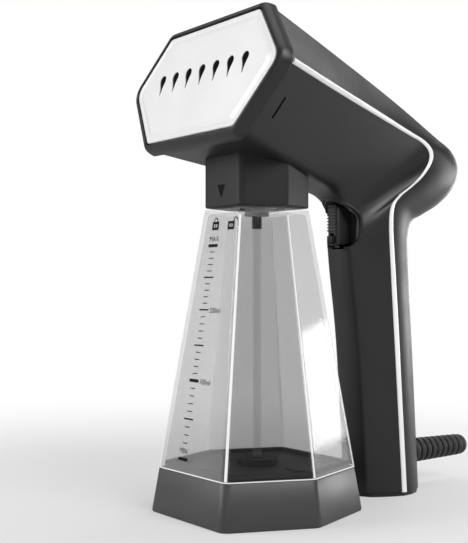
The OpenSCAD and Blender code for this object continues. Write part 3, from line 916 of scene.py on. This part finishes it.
printed("scale_marks", scale_marks())
word("word_max", "MAX", mark_line(132) - WORD_LEFT, 132.2)
word("word_min", "MIN", mark_line(31.5) - WORD_LEFT, 31.7)
word("number_200", "200ml", mark_line(98) + NUMBER_RIGHT, 98.1)
word("number_100", "100ml", mark_line(65) + NUMBER_RIGHT, 64.5)
printed("padlock_marks", padlock(-3.0, 138.6, False) + padlock(9.6, 138.4, True))

# ---------------------------------------------------------------- trigger
trigger = box("trigger_lever", (-4, TRIGGER_FRONT, 130.8), (4, TRIGGER_BACK, 151.8))
bevel(trigger, 1.8, 5)
cut(trigger, [box("slot_cut", (-1.5, 40, 131.9), (1.5, 53.4, 137.3))])
for i in range(TRIGGER_RIBS):
    z = FIRST_RIB_Z + RIB_PITCH * i
    low = (-3.4, TRIGGER_FRONT - 0.55, z - RIB_HALF)
    rib = box("rib", low, (3.4, TRIGGER_FRONT + 0.6, z + RIB_HALF))
    bevel(rib, 0.28, 2)
    cut(trigger, [rib], "UNION")
pivot = [(PIVOT_Y + c, PIVOT_Z + s) for c, s in circle(PIVOT_R, 32)]
cut(trigger, [loft("pivot_cut", [[(x, y, z) for y, z in pivot] for x in (-10, 10)])])
piece(trigger, "trigger", shell_black, ["trigger"], 40)

lock = box("trigger_lock_knob", (-2.4, 47.6, 131.3), (2.4, 49.1, 135.9))
bevel(lock, 0.5, 3)
cut(lock, [box("stem", (-1.2, 48.8, 132.2), (1.2, 53, 135.2))], "UNION")
piece(lock, "trigger_lock", lock_black, ["trigger_lock"], 40)

# Return spring behind the trigger, drawn at one length; the real one shortens as the trigger is pulled
SPRING_R = 2.6
SPRING_WIRE = 0.45
SPRING_Z = 143.5
SPRING_START = 62.7
SPRING_END = 69.6
SPRING_TURNS = 5
TURN_STEPS = 16
coil_points = SPRING_TURNS * TURN_STEPS
coil = []
for i in range(coil_points + 1):
    turn = 2 * math.pi * i / TURN_STEPS
    along = SPRING_START + (SPRING_END - SPRING_START) * i / coil_points
    coil.append((SPRING_R * math.cos(turn), along, SPRING_Z + SPRING_R * math.sin(turn)))
coil_tube = tube("return_spring", coil, SPRING_WIRE, 10)
spring = piece(coil_tube, "housing", steel, ["trigger_spring"], 50)
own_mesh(spring)

# Lip round the recess, laid on the front skin
handle_skin = []
for i in range(3 * STEPS, LAST * STEPS + 1, 2):
    section = at(i / STEPS)
    handle_skin += [skin_point(section, False, 0.3 + 0.7 * j / 60) for j in range(61)]


def skin_y(x, z):
    """Where the front skin is at a side distance and height."""
    return min(handle_skin, key=lambda p: (abs(p.x) - abs(x)) ** 2 + (p.z - z) ** 2).y


rim = recess_outline(0.05)
depths = [skin_y(x, z) + 0.15 for x, z in rim]
# Eight rounds of averaging even out the steps between the skin's points.
for _ in range(8):
    depths = [(depths[i - 1] + depths[i] * 2 + depths[(i + 1) % len(rim)]) / 4 for i in range(len(rim))]
lip = [Vector((x, y, z)) for (x, z), y in zip(rim, depths)]
piece(tube("recess_lip", lip, 0.7, closed=True), "housing", shell_black)

# ---------------------------------------------------------------- lead sleeve
SLEEVE_RINGS = 9
SLEEVE_PITCH = 4.3
SLEEVE_START = 105.5
SLEEVE_RIB = SLEEVE_PITCH - 1.25
# (radius, y) points: the bore, the flange inside the handle, the ribs and the rounded tip
profile = [(3.3, 94.0), (8.2, 94.0), (8.2, 96.2), (6.4, 96.2), (6.4, 105.3)]
for i in range(SLEEVE_RINGS):
    y = SLEEVE_START + SLEEVE_PITCH * i
    r = 6.6 - 0.1 * i
    profile += [
        (5.0, y - 0.1), (r - 0.45, y), (r - 0.12, y + 0.15), (r, y + 0.5),
        (r, y + SLEEVE_RIB - 0.5), (r - 0.12, y + SLEEVE_RIB - 0.15), (r - 0.45, y + SLEEVE_RIB),
        (5.0, y + SLEEVE_RIB + 0.1),
    ]
tip = SLEEVE_START + SLEEVE_PITCH * SLEEVE_RINGS
for k in range(9):
    a = math.pi / 2 * k / 8
    profile.append((3.5 + 2.15 * math.cos(a), tip + 0.3 + 3.4 * math.sin(a)))
profile.append((3.3, tip + 3.5))
sleeve = lathe("lead_sleeve", profile, lambda v: Vector((v.x, v.z, RELIEF_Z + v.y)))
piece(sleeve, "housing", relief_rubber, ["strain_relief"], 50)

# ---------------------------------------------------------------- finishes of the carried-over CAD nodes
FINISH = {
    "soleplate_gasket": silicone, "steam_chamber": cast_metal, "chamber_cover": cast_metal,
    "chamber_screws": steel, "heating_element": steel, "element_terminals": brass,
    "thermostat": inner_dark, "thermal_fuse": inner_white, "heat_shield": steel, "pump": inner_dark,
    "pump_bracket": inner_dark, "intake_hose": hose_clear, "delivery_hose": hose_clear,
    "collar_screws": steel, "intake_spigot": spigot_black, "spigot_seal": silicone,
    "tank_lock_ring": inner_white, "tank_floor": floor_dark, "floor_seal": seal_rubber,
    "suction_hose": clear_hose, "suction_filter": spigot_black, "trigger_pin": steel,
    "trigger_cradle": inner_dark, "microswitch": inner_dark, "switch_plunger": red_plastic,
    "switch_holder": inner_dark, "control_board": green_board, "board_parts": inner_dark,
    "lead_wires": brown_wire, "cord_clamp": inner_dark, "clamp_screws": steel,
    "handle_foot": shell_black, "shell_screws": steel,
}
for name, finish in FINISH.items():
    for slot in nodes[name].material_slots:
        slot.material = finish


# ---------------------------------------------------------------- floor, light and camera
def floor_finish():
    """Pale floor that turns to the white of the room away from the object."""
    m = material("pale_floor", (0.6, 0.6, 0.6), 0.8)
    place = add(m, "ShaderNodeTexCoord")
    away = add(m, "ShaderNodeVectorMath", operation="LENGTH")
    wire(m, place, "Object", away, "Vector")
    fade = add(m, "ShaderNodeMapRange", interpolation_type="SMOOTHERSTEP",
               From_Min=0.02, From_Max=0.6, To_Min=0.35)
    wire(m, away, "Value", fade, "Value")
    path = add(m, "ShaderNodeLightPath")
    seen_share = add(m, "ShaderNodeMath", operation="MULTIPLY")
    wire(m, fade, "Result", seen_share, 0)
    wire(m, path, "Is Camera Ray", seen_share, 1)
    white = add(m, "ShaderNodeEmission")
    mix = add(m, "ShaderNodeMixShader")
    wire(m, seen_share, "Value", mix, "Fac")
    wire(m, principled(m), "BSDF", mix, 1)
    wire(m, white, "Emission", mix, 2)
    wire(m, mix, "Shader", m.node_tree.nodes["Material Output"], "Surface")
    return m


FLOOR_REACH = 9000
floor_corners = [(x, y, 0) for x, y in ((-1, -1), (1, -1), (1, 1), (-1, 1))]
floor = mesh_object("studio_floor", [Vector(p) * FLOOR_REACH for p in floor_corners], [(0, 1, 2, 3)])
floor.data.materials.append(floor_finish())

# The camera sees a white room, which lights the object only faintly.
world = bpy.data.worlds.new("studio")
bpy.context.scene.world = world
world.use_nodes = True
light = world.node_tree.nodes["Background"]
light.inputs["Color"].default_value = (1, 1, 1, 1)
light.inputs["Strength"].default_value = 0.12
seen = add(world, "ShaderNodeBackground", Color=(1, 1, 1, 1), Strength=1.0)
path = add(world, "ShaderNodeLightPath")
mix = add(world, "ShaderNodeMixShader")
wire(world, path, "Is Camera Ray", mix, "Fac")
wire(world, light, "Background", mix, 1)
wire(world, seen, "Background", mix, 2)
wire(world, mix, "Shader", world.node_tree.nodes["World Output"], "Surface")


# Lamps, in m and W
MIDDLE = (0, 0.03, 0.12)


def softbox(name, place, width, height, power):
    """A lamp that faces the middle of the object and isn't seen itself."""
    data = bpy.data.lights.new(name, "AREA")
    data.shape = "RECTANGLE"
    data.size = width
    data.size_y = height
    data.energy = power
    lamp = linked(name, data)
    lamp.location = place
    lamp.visible_camera = False
    lamp.rotation_euler = (Vector(MIDDLE) - Vector(place)).to_track_quat("-Z", "Y").to_euler()


softbox("key_front_left", (-0.75, -1.25, 0.7), 0.9, 0.9, 18)
softbox("rear_high", (-0.1, 1.15, 1.05), 0.9, 0.6, 2)
softbox("rear_left", (-0.6, 1.15, 0.25), 0.5, 0.4, 4.2)
softbox("rear_low", (0.15, 1.3, 0.12), 0.4, 0.2, 3)
softbox("top", (0, 0.1, 1.5), 1.0, 1.0, 5)
softbox("fill_high_right", (1.15, 0.1, 1.0), 0.8, 0.8, 15)
softbox("strip_by_camera", (0.82, -0.72, 0.34), 0.12, 0.5, 0.8)

camera_data = bpy.data.cameras.new("camera")
camera_data.sensor_fit = "VERTICAL"
camera_data.sensor_height = 24
camera_data.lens = 45.5
camera_data.clip_start = 0.01
camera = linked("camera", camera_data)
YAW, PITCH = math.radians(-53.68), math.radians(0.917)
forward = Vector((math.sin(YAW) * math.cos(PITCH), math.cos(YAW) * math.cos(PITCH), math.sin(PITCH)))
camera.location = (0.4005, -0.3084, 0.1088)
camera.rotation_euler = forward.to_track_quat("-Z", "Y").to_euler()
bpy.context.scene.camera = camera
bpy.context.scene.view_settings.view_transform = "Standard"
